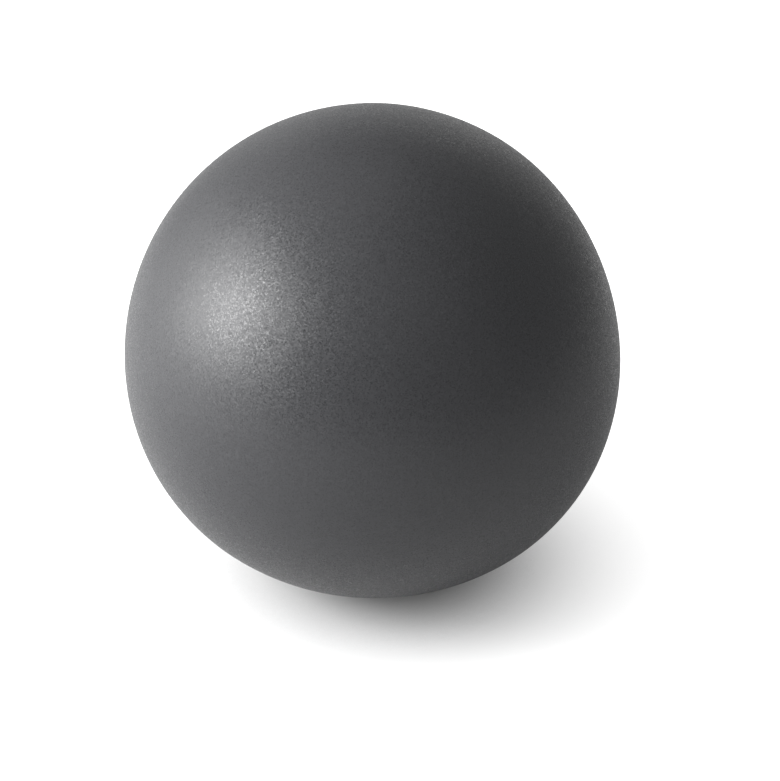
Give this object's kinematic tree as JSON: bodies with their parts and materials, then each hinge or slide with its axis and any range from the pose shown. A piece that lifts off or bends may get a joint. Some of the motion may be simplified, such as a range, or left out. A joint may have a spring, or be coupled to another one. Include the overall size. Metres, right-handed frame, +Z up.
{
  "type": "pilates ball",
  "caption": "Soft hollow exercise ball that stands on a small flat pressed by its own weight, with a valve neck moulded inside its skin and a ribbed plug that pushes in flush.",
  "frame": {"origin": "on the floor, in the middle of the round flat that the ball stands on", "axes": "+Z up; +Y along the valve, out of the back of the ball; +X to the right, seen from the front"},
  "size_m": [0.26, 0.26, 0.259],
  "materials": {
    "ball_skin": "soft PVC, dark grey, satin with a fine pebbled grain",
    "plug": "off-white soft plastic, smooth moulded satin"
  },
  "bodies": {
    "ball": {"ball_shell": "ball_skin"},
    "plug": {"air_plug": "plug"}
  },
  "joints": [
    {"name": "plug_pull", "type": "slide", "parent": "ball", "child": "plug", "axis": [0, 1, 0], "range_m": [0, 0.03]}
  ]
}
